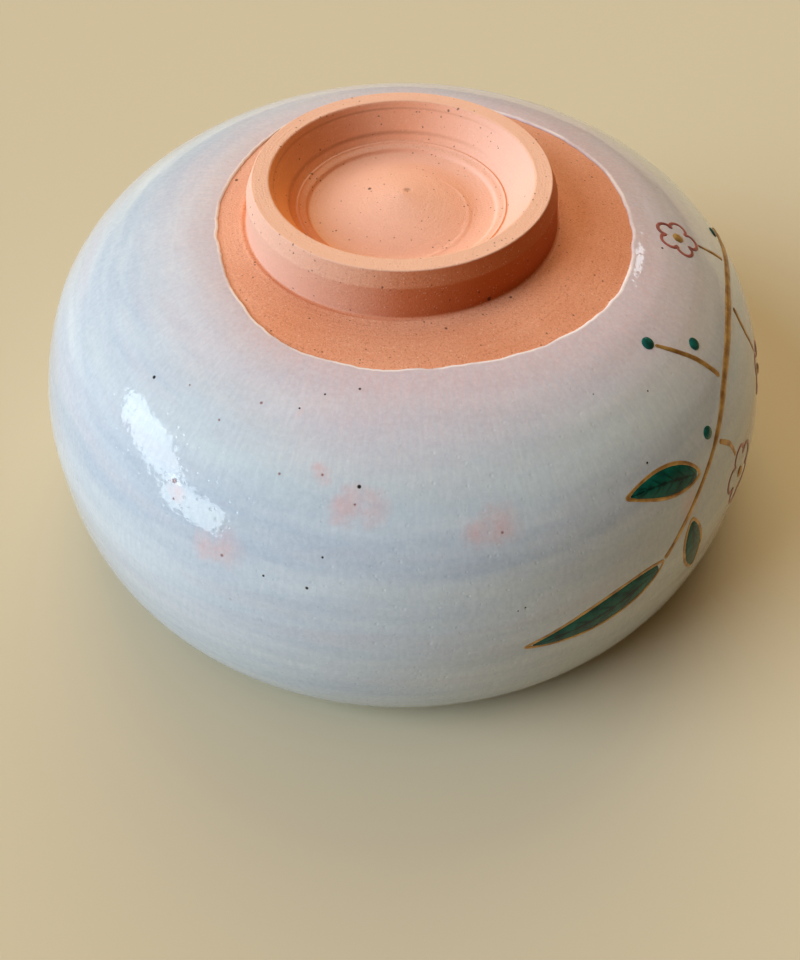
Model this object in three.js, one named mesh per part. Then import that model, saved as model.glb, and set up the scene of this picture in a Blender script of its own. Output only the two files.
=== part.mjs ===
import * as THREE from 'three';
import { mergeVertices } from 'three/addons/utils/BufferGeometryUtils.js';

// Shallow tea bowl, turned over on its lip with the foot up.
// Millimetres, +Z up. The origin is on the resting plane, on the bowl's axis.
// Azimuth 0 points along +X, and -90 degrees points along -Y, to the front.

// Driving dimensions of the whole bowl, measured over the glaze
const totalHeight = 67;
const widestRadius = 72;
const widestHeight = 16;
const lipCentreRadius = 66.3;
const lipRoundRadius = 2.2;
const lipLandWidth = 0.8; // narrow flat that the bowl stands on when it is turned over
const lipLean = 35; // degrees that the wall leans inwards at the lip

// Clay wall and floor
const wallAtWidest = 4.1;
const floorThickness = 6.2; // clay between the plate around the foot and the inside
const shoulderRise = 32.2; // reach of the outside curve above the widest circle
const plateReach = 23; // reach of the outside curve beyond the foot
const bellyDrop = 6; // reach of the outside curve below the widest circle
const lipRun = 5; // reach of the outside curve above the lip
const insideRise = 30; // reach of the inside curve above the widest circle
const insideReach = 56; // reach of the inside curve out of the axis
const insideLipRun = 6;

// Foot ring, cut from the same clay
const footHeight = 8;
const footBaseRadius = 27.55;
const footShoulderRadius = 26.8;
const footChamferDrop = 2.5;
const footFaceOuterRadius = 25.65;
const footFaceInnerRadius = 22.7;

// Well inside the foot ring: a sloping wall, a narrow step and a low central peak
const wellWallDrop = 5.7;
const wellWallFootRadius = 18.4;
const wellStepDrop = 0.9;
const wellStepRadius = 16.8;
const wellFloorDrop = 7.2;
const wellFloorRadius = 13;
const peakRise = 3.6;
const peakWaistRadius = 6;
const peakWaistDrop = 1.2; // below the peak's top

// Glaze skin and where it stops
const glazeThickness = 0.7;
const glazeClearance = 0.15; // between the clay and the skin
const glazeEdgeRolling = 0.23; // how far the skin's edge bulges beyond its faces
const glazeEdgeRadius = 37.5;
const glazeEdgeShift = 3.5; // the bare patch lies off centre, towards +X
const glazeEdgeWaves = [
  // size in millimetres, waves in a turn, azimuth of one crest in degrees
  { size: 0.95, count: 2, crest: -82 },
  { size: 0.85, count: 3, crest: -6 },
  { size: 0.4, count: 5, crest: 30 },
];

// Overglaze enamel
const enamelThickness = 0.22;
const enamelClearance = 0.12; // between the glaze and the enamel, and between two enamels

// How finely the round surfaces are divided
const turnSteps = 56;
const shoulderSteps = 13;
const bellySteps = 4;
const lipOuterSteps = 2;
const lipInnerSteps = 4;
const insideSteps = 10;
const halvings = 40; // when a curve is searched for a radius
const mergeDistance = 1e-4;

const cover = glazeThickness + glazeClearance;
const plateHeight = totalHeight - footHeight;
const radians = THREE.MathUtils.degToRad;

function at(radius, height) {
  return new THREE.Vector2(radius, height);
}

// Outside and inside of the clay, as curves of radius and height

const lipLandAngle = Math.asin(lipLandWidth / 2 / lipRoundRadius);
const lipCentreHeight = lipRoundRadius * Math.cos(lipLandAngle);

// A point of the lip's round, its angle in radians above the outward direction
function lipPoint(roundRadius, angle) {
  return at(
    lipCentreRadius + roundRadius * Math.cos(angle),
    lipCentreHeight + roundRadius * Math.sin(angle),
  );
}

const clayLipRadius = lipRoundRadius - cover;
const clayWidestRadius = widestRadius - cover;
const lean = radians(lipLean);
const alongLip = at(Math.sin(lean), Math.cos(lean));

const belly = new THREE.CubicBezierCurve(
  lipPoint(clayLipRadius, -lean),
  lipPoint(clayLipRadius, -lean).addScaledVector(alongLip, lipRun),
  at(clayWidestRadius, widestHeight - bellyDrop),
  at(clayWidestRadius, widestHeight),
);
const shoulder = new THREE.CubicBezierCurve(
  at(clayWidestRadius, widestHeight),
  at(clayWidestRadius, widestHeight + shoulderRise),
  at(footBaseRadius + plateReach, plateHeight),
  at(footBaseRadius, plateHeight),
);
const insideRadius = clayWidestRadius - wallAtWidest;
const insideHeight = plateHeight - floorThickness;
const insideWall = new THREE.CubicBezierCurve(
  lipPoint(clayLipRadius, Math.PI - lean),
  lipPoint(clayLipRadius, Math.PI - lean).addScaledVector(alongLip, insideLipRun),
  at(insideRadius, widestHeight - bellyDrop),
  at(insideRadius, widestHeight),
);
const insideFloor = new THREE.CubicBezierCurve(
  at(insideRadius, widestHeight),
  at(insideRadius, widestHeight + insideRise),
  at(insideReach, insideHeight),
  at(0, insideHeight),
);

// A point of a curve, moved sideways out of the clay
function offCurve(curve, t, distance) {
  const point = curve.getPoint(t);
  const tangent = curve.getTangent(t);
  return at(point.x + distance * tangent.y, point.y - distance * tangent.x);
}

function steps(count) {
  return Array.from({ length: count }, (_, i) => (i + 1) / count);
}

// Curve value where a curve that runs inwards has a given radius
function whereRadius(curve, radius) {
  let low = 0;
  let high = 1;
  for (let i = 0; i < halvings; i += 1) {
    const middle = (low + high) / 2;
    if (curve.getPoint(middle).x > radius) low = middle;
    else high = middle;
  }
  return (low + high) / 2;
}

// The lip's round, from its outer side down to the land and up to its inner side, without both ends
function lipRound(roundRadius) {
  const straightDown = -Math.PI / 2;
  const landStart = straightDown + lipLandAngle;
  const landEnd = straightDown - lipLandAngle;
  const points = steps(lipOuterSteps).map((share) => (
    lipPoint(roundRadius, THREE.MathUtils.lerp(-lean, landStart, share))
  ));
  for (let i = 0; i < lipInnerSteps; i += 1) {
    points.push(lipPoint(roundRadius, THREE.MathUtils.lerp(landEnd, -lean - Math.PI, i / lipInnerSteps)));
  }
  return points;
}

// Clay between the lip's inner side and the axis, moved out of the clay by a distance
function insideProfile(distance) {
  const points = [offCurve(insideWall, 0, -distance)];
  for (const t of steps(bellySteps)) points.push(offCurve(insideWall, t, -distance));
  for (const t of steps(insideSteps)) points.push(offCurve(insideFloor, t, -distance));
  points[points.length - 1].x = 0;
  return points;
}

// Clay between the lip's outer side and a place on the shoulder curve
function outsideProfile(distance, shoulderEnd) {
  const points = [offCurve(belly, 0, distance)];
  for (const t of steps(bellySteps)) points.push(offCurve(belly, t, distance));
  for (const t of steps(shoulderSteps)) points.push(offCurve(shoulder, t * shoulderEnd, distance));
  return points;
}

// Turned solid whose profile may change with the azimuth
function turned(profileAt) {
  const first = profileAt(0);
  const geometry = new THREE.LatheGeometry(first, turnSteps);
  const position = geometry.getAttribute('position');
  for (let i = 0; i <= turnSteps; i += 1) {
    const azimuth = (2 * Math.PI * (i % turnSteps)) / turnSteps;
    profileAt(azimuth).forEach((point, j) => {
      const x = point.x * Math.cos(azimuth);
      const y = point.x * Math.sin(azimuth);
      position.setXYZ(i * first.length + j, x, y, point.y);
    });
  }
  geometry.deleteAttribute('normal');
  geometry.deleteAttribute('uv');
  return mergeVertices(geometry, mergeDistance);
}

function wellProfile() {
  const peakHeight = totalHeight - wellFloorDrop + peakRise;
  return [
    at(wellWallFootRadius, totalHeight - wellWallDrop),
    at(wellStepRadius, totalHeight - wellWallDrop - wellStepDrop),
    at(wellFloorRadius, totalHeight - wellFloorDrop),
    at(peakWaistRadius, peakHeight - peakWaistDrop),
    at(0, peakHeight),
  ];
}

function clayBody() {
  const profile = [
    ...insideProfile(0).reverse(),
    ...lipRound(clayLipRadius).reverse(),
    ...outsideProfile(0, 1),
    at(footShoulderRadius, totalHeight - footChamferDrop),
    at(footFaceOuterRadius, totalHeight),
    at(footFaceInnerRadius, totalHeight),
    ...wellProfile(),
  ];
  return turned(() => profile);
}

// Radius at which the glaze stops, at an azimuth in radians
function glazeEdge(azimuth) {
  let radius = glazeEdgeRadius + glazeEdgeShift * Math.cos(azimuth);
  for (const wave of glazeEdgeWaves) {
    radius += wave.size * Math.cos(wave.count * (azimuth - radians(wave.crest)));
  }
  return radius;
}

function glazeCoat() {
  return turned((azimuth) => {
    const end = whereRadius(shoulder, glazeEdge(azimuth));
    const rolled = whereRadius(shoulder, glazeEdge(azimuth) - glazeEdgeRolling);
    return [
      ...insideProfile(cover).reverse(),
      ...lipRound(lipRoundRadius).reverse(),
      ...outsideProfile(cover, end),
      offCurve(shoulder, rolled, glazeClearance + glazeThickness / 2),
      ...outsideProfile(glazeClearance, end).reverse(),
      ...lipRound(clayLipRadius + glazeClearance),
      ...insideProfile(glazeClearance),
    ];
  });
}

// Places on the glaze: azimuth in degrees, and way in millimetres along the clay, up from the widest circle

const shoulderLength = shoulder.getLength();

function onGlaze(azimuth, way, lift) {
  const t = shoulder.getUtoTmapping(way / shoulderLength);
  const point = offCurve(shoulder, t, cover + enamelClearance + lift);
  const turn = radians(azimuth);
  return new THREE.Vector3(point.x * Math.cos(turn), point.x * Math.sin(turn), point.y);
}

// Place reached from another by going some millimetres round the bowl and some up
function beside(place, round, up) {
  const t = shoulder.getUtoTmapping(place.way / shoulderLength);
  const degreeWidth = radians(shoulder.getPoint(t).x);
  return { azimuth: place.azimuth + round / degreeWidth, way: place.way + up };
}

// Heading from one place to another, as a unit step round and up
function heading(from, to) {
  const degreeWidth = 1 / (beside(from, 1, 0).azimuth - from.azimuth);
  return at((to.azimuth - from.azimuth) * degreeWidth, to.way - from.way).normalize();
}

// The two sides of a line through places that each have half a width
function bothSides(places, closed) {
  const count = places.length;
  return places.map((place, i) => {
    const last = places[closed ? (i + count - 1) % count : Math.max(i - 1, 0)];
    const next = places[closed ? (i + 1) % count : Math.min(i + 1, count - 1)];
    const run = heading(last, next);
    const [left, right] = [1, -1].map((side) => {
      const off = side * place.half;
      return beside(place, -run.y * off, run.x * off);
    });
    return { left, right };
  });
}

// Raised band of enamel between left and right places; lanes divide its width
function raised(stations, { closed = false, lanes = 1 } = {}) {
  const positions = [];
  const ring = 2 * (lanes + 1);
  for (const { left, right } of stations) {
    for (let k = 0; k < ring; k += 1) {
      const share = (k <= lanes ? k : ring - 1 - k) / lanes;
      const azimuth = THREE.MathUtils.lerp(left.azimuth, right.azimuth, share);
      const way = THREE.MathUtils.lerp(left.way, right.way, share);
      positions.push(onGlaze(azimuth, way, k <= lanes ? 0 : enamelThickness));
    }
  }
  const indices = [];
  const spans = closed ? stations.length : stations.length - 1;
  for (let i = 0; i < spans; i += 1) {
    const next = (i + 1) % stations.length;
    for (let k = 0; k < ring; k += 1) {
      const a = i * ring + k;
      const b = i * ring + ((k + 1) % ring);
      const c = next * ring + k;
      const d = next * ring + ((k + 1) % ring);
      indices.push(a, c, b, b, c, d);
    }
  }
  if (!closed) {
    const end = spans * ring;
    for (let k = 0; k < lanes; k += 1) {
      const across = ring - 1 - k;
      indices.push(k, k + 1, across, across, k + 1, across - 1);
      indices.push(end + k, end + across, end + k + 1, end + across, end + across - 1, end + k + 1);
    }
  }
  return solidFrom(positions, indices);
}

function brushed(places, closed = false) {
  return raised(bothSides(places, closed), { closed });
}

function solidFrom(positions, indices) {
  const geometry = new THREE.BufferGeometry().setFromPoints(positions);
  geometry.setIndex(indices);
  return geometry;
}

// Places along a smooth line through a few hand-set stations
function smoothLine(stations, count) {
  const line = new THREE.SplineCurve(stations.map((s) => at(s.azimuth, s.way)));
  const places = [];
  for (let i = 0; i <= count; i += 1) {
    const run = (i / count) * (stations.length - 1);
    const index = Math.min(Math.floor(run), stations.length - 2);
    const half = THREE.MathUtils.lerp(stations[index].half, stations[index + 1].half, run - index);
    const point = line.getPoint(i / count);
    places.push({ azimuth: point.x, way: point.y, half });
  }
  return places;
}

// Place just clear of a line's side, where another deposit may start
function clearOf(places, index, side, reach) {
  const run = heading(places[index - 1], places[index]);
  const off = side * (places[index].half + enamelClearance + reach);
  return beside(places[index], -run.y * off, run.x * off);
}

// Place straight on past a line's end
function beyond(places, reach) {
  const end = places[places.length - 1];
  const run = heading(places[places.length - 2], end);
  return beside(end, run.x * reach, run.y * reach);
}

// Branch: one long stem, and the twigs that leave it

const stemSteps = 22;
const twigSteps = 6;
const stemHalf = 0.85;
const stemTipHalf = 0.5;
const stemStartWay = 30; // up from the widest circle
const stemCrestWay = 36;
const stemBendWay = 34;
const stemFallWay = 25;
const stemTipWay = 15;
const twigHalf = 0.5;
const twigTipHalf = 0.3;

const stem = smoothLine([
  { azimuth: 12, way: stemStartWay, half: stemHalf },
  { azimuth: -8, way: stemCrestWay, half: stemHalf },
  { azimuth: -26, way: stemBendWay, half: stemHalf },
  { azimuth: -41, way: stemFallWay, half: stemTipHalf },
  { azimuth: -52, way: stemTipWay, half: stemTipHalf },
], stemSteps);

// Sides of the stem, as it runs from its thick end: lower is on its left, upper on its right
const lower = 1;
const upper = -1;

// Twig from one of the stem's places, through stations given as millimetres round and up from its start
function twig(index, side, stationsAway) {
  const start = clearOf(stem, index, side, twigHalf);
  const stations = [{ ...start, half: twigHalf }];
  for (const { round, up, half } of stationsAway) {
    stations.push({ ...beside(start, round, up), half });
  }
  return smoothLine(stations, twigSteps);
}

const budTwig = twig(12, upper, [
  { round: -2.5, up: 6, half: twigHalf },
  { round: -7.5, up: 12.5, half: twigTipHalf },
]);
const upperTwig = twig(4, upper, [{ round: -1.5, up: 7, half: twigTipHalf }]);
const lowerTwig = twig(7, lower, [
  { round: -1.8, up: -5, half: twigHalf },
  { round: -1.2, up: -10, half: twigTipHalf },
]);
const shortTwig = twig(15, lower, [
  { round: 3, up: -3, half: twigHalf },
  { round: 4.6, up: -7, half: twigTipHalf },
]);

// Leaves: the green fill, and the gold line around it

const longLeafLength = 27;
const longLeafHalf = 3.2;
const lowLeafLength = 15;
const lowLeafHalf = 2.4;
const highLeafLength = 17;
const highLeafHalf = 2.6;
const leafSteps = 9;
const leafLanes = 3;
const leafLineHalf = 0.32;
const leafFillStart = 0.12; // shares of the leaf's length
const leafFillEnd = 0.88;
const leafForwardness = 0.8; // below 1, the widest place lies before the middle
const leafFullness = 0.85; // below 1, the ends are blunter
const leafGap = leafLineHalf + enamelClearance; // from the outline's middle to what is beside it
const leafRoot = 1.2; // from the stem's side to the end of a leaf

// Place along a leaf's bent midrib, and a distance to its left
function leafPlace(leaf, along, side) {
  const start = radians(leaf.heading);
  const bend = radians(leaf.bend);
  const turn = start + bend * along;
  const round = (leaf.length / bend) * (Math.sin(turn) - Math.sin(start)) - side * Math.sin(turn);
  const up = (leaf.length / bend) * (Math.cos(start) - Math.cos(turn)) + side * Math.cos(turn);
  return beside(leaf.start, round, up);
}

// Half a leaf's width at a share of its length
function leafHalf(leaf, along) {
  return leaf.half * Math.sin(Math.PI * along ** leafForwardness) ** leafFullness;
}

function leafFill(leaf) {
  const stations = [];
  for (let i = 0; i <= leafSteps; i += 1) {
    const along = THREE.MathUtils.lerp(leafFillStart, leafFillEnd, i / leafSteps);
    const half = leafHalf(leaf, along) - leafGap;
    stations.push({ left: leafPlace(leaf, along, half), right: leafPlace(leaf, along, -half) });
  }
  return raised(stations, { lanes: leafLanes });
}

function leafLine(leaf) {
  const places = [];
  for (const side of [-1, 1]) {
    for (let i = 0; i < leafSteps; i += 1) {
      const along = side < 0 ? i / leafSteps : 1 - i / leafSteps;
      places.push({ ...leafPlace(leaf, along, side * leafHalf(leaf, along)), half: leafLineHalf });
    }
  }
  return brushed(places, true);
}

const leaves = [
  {
    start: beyond(stem, leafGap),
    heading: 200,
    bend: -18,
    length: longLeafLength,
    half: longLeafHalf,
  },
  {
    start: clearOf(stem, 19, lower, leafRoot),
    heading: 268,
    bend: 24,
    length: lowLeafLength,
    half: lowLeafHalf,
  },
  {
    start: clearOf(stem, 17, upper, leafRoot),
    heading: 150,
    bend: 26,
    length: highLeafLength,
    half: highLeafHalf,
  },
];

// Blossoms: a five-petalled outline with a round centre

const largeBlossomRadius = 5.8;
const middleBlossomRadius = 5;
const smallBlossomRadius = 4.2;
const petalCount = 5;
const petalSteps = 6;
const petalDip = 0.4; // share of the radius by which the outline dips between petals
const petalFullness = 0.6; // below 1, petals are broader than the dips
const blossomLineHalf = 0.36;
const blossomCentreRadius = 1.1;

function blossomLine(blossom) {
  const places = [];
  const count = petalCount * petalSteps;
  for (let i = 0; i < count; i += 1) {
    const turn = (2 * Math.PI * i) / count;
    const lobe = Math.abs(Math.cos((turn * petalCount) / 2));
    const radius = blossom.radius * (1 - petalDip * (1 - lobe ** petalFullness));
    const angle = turn + radians(blossom.turn);
    const spot = beside(blossom, radius * Math.cos(angle), radius * Math.sin(angle));
    places.push({ ...spot, half: blossomLineHalf });
  }
  return brushed(places, true);
}

// Blossom at the end of a twig
function blossomOn(places, radius, turn) {
  return { ...beyond(places, radius + blossomLineHalf + enamelClearance), radius, turn };
}

const blossoms = [
  blossomOn(shortTwig, largeBlossomRadius, 20),
  blossomOn(lowerTwig, middleBlossomRadius, -20),
  blossomOn(upperTwig, smallBlossomRadius, 62),
];

// Round drops, for buds and blossom centres

const dropSides = 10;
const dropCrown = 1.5; // height of a drop's middle, in enamel thicknesses
const dropShoulder = 0.7; // share of a drop's radius where its flank ends
const budRadius = 1.15;
const budStandOff = 0.9; // from a bud to the line beside it

function dropRing(place, radius, lift) {
  const points = [];
  for (let i = 0; i < dropSides; i += 1) {
    const turn = (2 * Math.PI * i) / dropSides;
    const spot = beside(place, radius * Math.cos(turn), radius * Math.sin(turn));
    points.push(onGlaze(spot.azimuth, spot.way, lift));
  }
  return points;
}

function drop(place, radius) {
  const positions = [
    ...dropRing(place, radius, 0),
    ...dropRing(place, radius * dropShoulder, enamelThickness),
    onGlaze(place.azimuth, place.way, 0),
    onGlaze(place.azimuth, place.way, dropCrown * enamelThickness),
  ];
  const bottom = 2 * dropSides;
  const top = bottom + 1;
  const indices = [];
  for (let i = 0; i < dropSides; i += 1) {
    const next = (i + 1) % dropSides;
    indices.push(bottom, next, i);
    indices.push(i, next, dropSides + i, next, dropSides + next, dropSides + i);
    indices.push(dropSides + i, dropSides + next, top);
  }
  return solidFrom(positions, indices);
}

const buds = [
  beyond(budTwig, budRadius + enamelClearance),
  clearOf(budTwig, 3, upper, budRadius + budStandOff),
  clearOf(stem, 15, upper, budRadius + budStandOff),
  clearOf(stem, 2, upper, budRadius + budStandOff),
];

// The bowl

const clay = new THREE.MeshStandardMaterial({ color: '#cf8158', roughness: 0.85, metalness: 0 });
const glaze = new THREE.MeshStandardMaterial({ color: '#c3cbd0', roughness: 0.15, metalness: 0 });
const gold = new THREE.MeshStandardMaterial({ color: '#a8742a', roughness: 0.35, metalness: 0.8 });
const green = new THREE.MeshStandardMaterial({ color: '#12604a', roughness: 0.15, metalness: 0 });
const red = new THREE.MeshStandardMaterial({ color: '#8a4a44', roughness: 0.3, metalness: 0 });

const bowl = new THREE.Group();

function add(name, geometry, material) {
  const mesh = new THREE.Mesh(geometry, material);
  mesh.name = name;
  bowl.add(mesh);
}

add('clay_body', clayBody(), clay);
add('glaze_coat', glazeCoat(), glaze);
add('stem', brushed(stem), gold);
add('bud_twig', brushed(budTwig), gold);
add('upper_twig', brushed(upperTwig), gold);
add('lower_twig', brushed(lowerTwig), gold);
add('short_twig', brushed(shortTwig), gold);
leaves.forEach((leaf, i) => {
  add(`leaf_fill_${i + 1}`, leafFill(leaf), green);
  add(`leaf_line_${i + 1}`, leafLine(leaf), gold);
});
blossoms.forEach((blossom, i) => {
  add(`blossom_line_${i + 1}`, blossomLine(blossom), red);
  add(`blossom_centre_${i + 1}`, drop(blossom, blossomCentreRadius), gold);
});
buds.forEach((bud, i) => {
  add(`bud_${i + 1}`, drop(bud, budRadius), green);
});

export default bowl;
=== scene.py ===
import bisect
from math import cos, degrees, pi, radians, sin, sqrt, tan

import bpy
from mathutils import Matrix, Quaternion, Vector


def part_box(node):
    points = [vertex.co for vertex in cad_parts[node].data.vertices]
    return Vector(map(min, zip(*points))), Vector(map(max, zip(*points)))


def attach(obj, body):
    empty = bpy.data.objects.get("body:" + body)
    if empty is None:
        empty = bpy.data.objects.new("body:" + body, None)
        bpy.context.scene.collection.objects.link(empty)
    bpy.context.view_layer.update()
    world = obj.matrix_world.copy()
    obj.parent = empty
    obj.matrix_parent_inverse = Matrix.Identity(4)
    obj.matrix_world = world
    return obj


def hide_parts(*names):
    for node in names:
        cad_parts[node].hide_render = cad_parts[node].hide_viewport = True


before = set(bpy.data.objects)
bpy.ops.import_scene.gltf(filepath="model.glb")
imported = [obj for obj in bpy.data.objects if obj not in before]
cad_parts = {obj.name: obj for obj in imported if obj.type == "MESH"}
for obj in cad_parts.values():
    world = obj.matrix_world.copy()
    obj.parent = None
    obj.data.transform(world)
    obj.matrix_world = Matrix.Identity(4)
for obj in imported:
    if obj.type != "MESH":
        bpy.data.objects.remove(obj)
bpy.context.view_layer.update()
mm = 0.001
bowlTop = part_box("clay_body")[1].z / mm
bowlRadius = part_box("glaze_coat")[1].x / mm
print("CAD frame loaded")


def linked(name, data):
    thing = bpy.data.objects.new(name, data)
    bpy.context.collection.objects.link(thing)
    return thing


# Camera, where the photograph was taken from

viewpoint = {
    "place": (-0.32, -130.65, 153.94),  # mm
    "turn": -0.14,  # degrees off straight ahead
    "pitch": 53.213,
    "roll": -0.364,
    "focalLength": 865.63,  # in pixels of the picture
    "pictureHeight": 960,
    "nearest": 10,  # mm
}


def makeCamera():
    turn, pitch, roll = (radians(viewpoint[angle]) for angle in ("turn", "pitch", "roll"))
    ahead = Vector((sin(turn) * cos(pitch), cos(turn) * cos(pitch), -sin(pitch)))
    level = Vector((cos(turn), -sin(turn), 0))
    above = level.cross(ahead)
    right = cos(roll) * level + sin(roll) * above
    up = cos(roll) * above - sin(roll) * level
    data = bpy.data.cameras.new("camera")
    data.lens = viewpoint["focalLength"] * data.sensor_width / viewpoint["pictureHeight"]
    data.clip_start = viewpoint["nearest"] * mm
    camera = linked("camera", data)
    camera.matrix_world = Matrix.Translation(Vector(viewpoint["place"]) * mm) @ Matrix(
        (right, up, -ahead)).transposed().to_4x4()
    bpy.context.scene.camera = camera


makeCamera()
print("camera placed")


# Small helpers for node trees. A socket knows the tree that it is in as its id_data

def setSocket(socket, value):
    if isinstance(value, bpy.types.NodeSocket):
        socket.id_data.links.new(value, socket)
    else:
        socket.default_value = (*value, 1) if socket.type == "RGBA" else value


def place(tree, kind, inputs=None, **settings):
    node = tree.nodes.new(kind)
    for setting, value in settings.items():
        setattr(node, setting, value)
    for key, value in (inputs or {}).items():
        setSocket(node.inputs[key], value)
    return node


# Place a node in the tree of a value that feeds it
def placeAfter(kind, inputs, **settings):
    tree = next(value.id_data for value in inputs.values() if isinstance(value, bpy.types.NodeSocket))
    return place(tree, kind, inputs, **settings)


def calc(operation, *values, **settings):
    return placeAfter("ShaderNodeMath", dict(enumerate(values)), operation=operation, **settings).outputs[0]


def chained(operation, first, *others):
    for other in others:
        first = calc(operation, first, other)
    return first


def product(*values):
    return chained("MULTIPLY", *values)


def largest(*values):
    return chained("MAXIMUM", *values)


# A value with shares of others added to it
def added(value, *others):
    for other, share in others:
        value = calc("MULTIPLY_ADD", other, share, value)
    return value


# 1 in the middle, and next to nothing two half widths away
def bell(value, middle, half):
    away = calc("DIVIDE", calc("SUBTRACT", value, middle), half)
    return calc("EXPONENT", product(away, away, -1.0))


def vectorCalc(operation, *values):
    outputs = placeAfter("ShaderNodeVectorMath", dict(enumerate(values)), operation=operation).outputs
    return outputs["Value" if operation in ("DISTANCE", "DOT_PRODUCT") else "Vector"]


def vector(x, y, z):
    return placeAfter("ShaderNodeCombineXYZ", {"X": x, "Y": y, "Z": z}).outputs[0]


def parts(value):
    return placeAfter("ShaderNodeSeparateXYZ", {"Vector": value}).outputs


# Cosine and sine of an angle, times a radius
def around(angle, radius=1.0):
    return [product(calc(turn, angle), radius) for turn in ("COSINE", "SINE")]


def spread(value, low, high, lowTo=0.0, highTo=1.0, smooth=False):
    ends = {"Value": value, "From Min": low, "From Max": high, "To Min": lowTo, "To Max": highTo}
    kind = "SMOOTHSTEP" if smooth else "LINEAR"
    return placeAfter("ShaderNodeMapRange", ends, interpolation_type=kind).outputs[0]


def noise(where, scale, detail=2.0, roughness=0.5, output="Fac"):
    sockets = {"Vector": where, "Scale": scale, "Detail": detail, "Roughness": roughness}
    return placeAfter("ShaderNodeTexNoise", sockets).outputs[output]


noiseMiddle = (0.25, 0.75)  # nearly all values of a noise lie between these

socketKinds = {float: "Float", int: "Int", bool: "Bool", bpy.types.Object: "Object"}


# Each input is given its value, or the name of its kind where it has none
def newTree(name, kind, inputs, outputs):
    tree = bpy.data.node_groups.new(name, kind + "NodeTree")
    for direction, sockets in (("INPUT", inputs), ("OUTPUT", outputs)):
        for socketName, value in sockets.items():
            bare = isinstance(value, str)
            socketKind = "NodeSocket" + (value if bare else socketKinds[type(value)])
            socket = tree.interface.new_socket(socketName, in_out=direction, socket_type=socketKind)
            if not bare:
                socket.default_value = value
    return tree, tree.nodes.new("NodeGroupInput").outputs, tree.nodes.new("NodeGroupOutput").inputs


def useGroup(group, inputs):
    return placeAfter(group.bl_idname.replace("Tree", "Group"), inputs, node_tree=group).outputs


def same(given, *names):
    return {name: given[name] for name in names}


def ownPlace(tree):
    return place(tree, "GeometryNodeInputPosition").outputs[0]


def passed(body, kind, inputs=None, **settings):
    return placeAfter("GeometryNode" + kind, {0: body, **(inputs or {})}, **settings).outputs[0]


# Keep values on the points of a body, and read one back further on
def keep(body, values, kind="FLOAT"):
    for name, value in values.items():
        body = passed(body, "StoreNamedAttribute", {"Name": name, "Value": value}, data_type=kind,
                      domain="POINT")
    return body


def kept(tree, name, kind="FLOAT"):
    return place(tree, "GeometryNodeInputNamedAttribute", {"Name": name}, data_type=kind).outputs[0]


def finishTree(tree, body, given, result):
    body = passed(body, "SetShadeSmooth")
    body = passed(body, "RealizeInstances")
    body = passed(body, "SetMaterial", same(given, "Material"))
    setSocket(result["Geometry"], body)
    return tree


def flatMesh(name, points, edges=(), faces=()):
    mesh = bpy.data.meshes.new(name)
    mesh.from_pydata(points, edges, faces)
    return linked(name, mesh)


# Run a geometry tree on an object, keep what it makes as a plain mesh, and put that in the CAD node's place
def addPiece(piece, tree, settings, node):
    modifier = piece.modifiers.new("shape", "NODES")
    modifier.node_group = tree
    for item in tree.interface.items_tree:
        if item.in_out == "INPUT" and item.name in settings:
            modifier[item.identifier] = settings[item.name]
    graph = bpy.context.evaluated_depsgraph_get()
    graph.update()
    mesh = bpy.data.meshes.new_from_object(piece.evaluated_get(graph))
    piece.modifiers.remove(modifier)
    piece.data = mesh
    mesh.name = piece.name
    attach(piece, "root")
    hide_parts(node)


# Outline of the clay in mm, from the middle of the hollow, round the lip, to the middle of the foot

clayShape = {
    "lipCentre": 66.3,
    "lipRound": 2.2,  # over the glaze
    "lipLean": 35,  # degrees
    "lipRun": 5,
    "widestHeight": 16,
    "bellyDrop": 6,
    "shoulderRise": 32.2,
    "plateReach": 23,
    "footHeight": 8,
    "footBase": 27.55,
    "footMargin": 0.6,  # the shoulder stops this far before the foot's first corner
    "peakDepth": 4.2,
    "wall": 4.1,
    "floor": 6.2,
    "insideRise": 30,
    "insideReach": 56,
    "insideLipRun": 6,
    "cover": 0.85,  # clay to the outside of the glaze
    # points along each stretch
    "hollowSteps": 60,
    "lipSteps": 24,
    "shoulderSteps": 200,
    "cornerSteps": 4,
    "cornerPull": 0.6,
}

footShape = [
    # radius, depth under the foot's face, rounding
    (28.9, 8.0, 0.25),
    (28.35, 7.88, 0.2),
    (27.9, 8.05, 0.15),
    (27.5, 7.9, 0.2),
    (26.85, 2.55, 0.15),
    (25.65, 0.0, 0.15),
    (22.7, 0.0, 0.3),
    (21.7, 1.6, 1.2),
    (19.4, 4.9, 0.9),
    (18.55, 5.75, 0.2),
    (18.25, 5.5, 0.15),
    (17.95, 5.8, 0.2),
    (16.9, 6.15, 0.3),
    (16.5, 6.75, 0.3),
    (14.2, 7.2, 1.6),
    (6.0, 5.0, 5.0),
]


def bezier(start, startHandle, endHandle, end, count):
    points = []
    for i in range(1, count + 1):
        t = i / count
        s = 1 - t
        points.append(s**3 * start + 3 * s * s * t * startHandle + 3 * s * t * t * endHandle + t**3 * end)
    return points


# Replace each corner of a chain of points by a short round
def eased(corners):
    points = []
    pull, steps = clayShape["cornerPull"], clayShape["cornerSteps"]
    for before, (corner, rounding), after in zip(corners, corners[1:], corners[2:]):
        start, end = (corner + rounding * (side[0] - corner).normalized() for side in (before, after))
        points.append(start)
        points += bezier(start, start.lerp(corner, pull), end.lerp(corner, pull), end, steps)
    return points


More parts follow.
